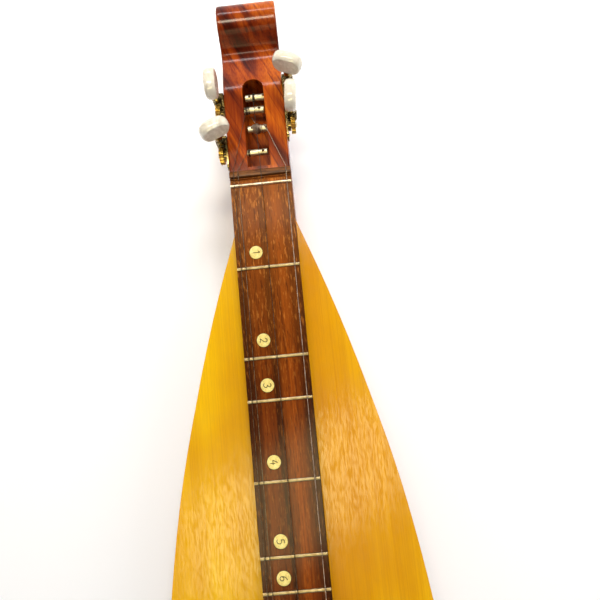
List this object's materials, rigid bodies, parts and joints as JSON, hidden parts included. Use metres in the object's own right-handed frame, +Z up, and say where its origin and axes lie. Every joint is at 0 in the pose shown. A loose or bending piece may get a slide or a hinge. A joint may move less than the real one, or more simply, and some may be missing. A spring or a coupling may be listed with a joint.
{
  "type": "mountain dulcimer",
  "caption": "Teardrop lap dulcimer: hollow body, raised fretboard with diatonic frets and numbered dots, slotted scroll pegbox with open-geared tuners and strings.",
  "frame": {"origin": "centre of the footprint, on the surface that the back plate rests on", "axes": "+Z up out of the fretboard, +Y from the tail towards the scroll, +X towards the bass string"},
  "size_m": [0.193, 0.831, 0.09],
  "materials": {
    "top_wood": "golden lacquer, gloss",
    "body_wood": "lacquer, gloss",
    "head_wood": "figured, amber-stained, high gloss",
    "board_wood": "open grain, satin",
    "nut_wood": "satin",
    "inner_wood": "bare, sanded",
    "nickel": "nickel plate, slightly worn",
    "brass": "polished, tarnished in the gaps",
    "steel": "plain steel",
    "bronze": "wound string wire",
    "pearloid": "pearled, polished"
  },
  "bodies": {
    "instrument": {"soundboard": "top_wood", "back": "body_wood", "rib_left": "body_wood", "rib_right": "body_wood", "tail_block": "inner_wood", "head": "head_wood", "fretboard": "board_wood", "nut": "nut_wood", "bridge": "nut_wood", "nut_bar": "nickel", "fret_01": "nickel", "fret_02": "nickel", "fret_03": "nickel", "fret_04": "nickel", "fret_05": "nickel", "fret_06": "nickel", "fret_07": "nickel", "fret_08": "nickel", "fret_09": "nickel", "fret_10": "nickel", "fret_11": "nickel", "fret_12": "nickel", "fret_13": "nickel", "fret_14": "nickel", "top_brace_1": "inner_wood", "top_brace_2": "inner_wood", "back_brace_1": "inner_wood", "back_brace_2": "inner_wood", "string_melody_outer": "steel", "string_melody_inner": "steel", "string_middle": "steel", "string_bass": "bronze", "tail_pin_1": "nickel", "tail_pin_2": "nickel", "tail_pin_3": "nickel", "tail_pin_4": "nickel", "tuner_1_plate": "nickel", "tuner_2_plate": "nickel", "tuner_3_plate": "nickel", "tuner_4_plate": "nickel"},
    "tuner_1_key": {"tuner_1_worm": "steel", "tuner_1_button": "pearloid"},
    "tuner_1_roller": {"tuner_1_post": "nickel", "tuner_1_gear": "brass"},
    "tuner_2_key": {"tuner_2_worm": "steel", "tuner_2_button": "pearloid"},
    "tuner_2_roller": {"tuner_2_post": "nickel", "tuner_2_gear": "brass"},
    "tuner_3_key": {"tuner_3_worm": "steel", "tuner_3_button": "pearloid"},
    "tuner_3_roller": {"tuner_3_post": "nickel", "tuner_3_gear": "brass"},
    "tuner_4_key": {"tuner_4_worm": "steel", "tuner_4_button": "pearloid"},
    "tuner_4_roller": {"tuner_4_post": "nickel", "tuner_4_gear": "brass"}
  },
  "joints": [
    {"name": "tuner_1_key_turn", "type": "hinge", "parent": "instrument", "child": "tuner_1_key", "pos_m": [0.0274, 0.35112, 0.059], "axis": [0, 0, 1], "continuous": true},
    {"name": "tuner_1_roller_turn", "type": "hinge", "parent": "instrument", "child": "tuner_1_roller", "pos_m": [0.0274, 0.34212, 0.059], "axis": [1, 0, 0], "continuous": true},
    {"name": "tuner_2_key_turn", "type": "hinge", "parent": "instrument", "child": "tuner_2_key", "pos_m": [-0.0274, 0.34132, 0.059], "axis": [0, 0, 1], "continuous": true},
    {"name": "tuner_2_roller_turn", "type": "hinge", "parent": "instrument", "child": "tuner_2_roller", "pos_m": [-0.0274, 0.33232, 0.059], "axis": [1, 0, 0], "continuous": true},
    {"name": "tuner_3_key_turn", "type": "hinge", "parent": "instrument", "child": "tuner_3_key", "pos_m": [0.0274, 0.32632, 0.059], "axis": [0, 0, 1], "continuous": true},
    {"name": "tuner_3_roller_turn", "type": "hinge", "parent": "instrument", "child": "tuner_3_roller", "pos_m": [0.0274, 0.31732, 0.059], "axis": [1, 0, 0], "continuous": true},
    {"name": "tuner_4_key_turn", "type": "hinge", "parent": "instrument", "child": "tuner_4_key", "pos_m": [-0.0274, 0.30782, 0.059], "axis": [0, 0, 1], "continuous": true},
    {"name": "tuner_4_roller_turn", "type": "hinge", "parent": "instrument", "child": "tuner_4_roller", "pos_m": [-0.0274, 0.29882, 0.059], "axis": [1, 0, 0], "continuous": true}
  ],
  "couplings": [
    {"joint": "tuner_1_roller_turn", "follows": "tuner_1_key_turn", "ratio": -0.071429},
    {"joint": "tuner_2_roller_turn", "follows": "tuner_2_key_turn", "ratio": -0.071429},
    {"joint": "tuner_3_roller_turn", "follows": "tuner_3_key_turn", "ratio": -0.071429},
    {"joint": "tuner_4_roller_turn", "follows": "tuner_4_key_turn", "ratio": -0.071429}
  ]
}
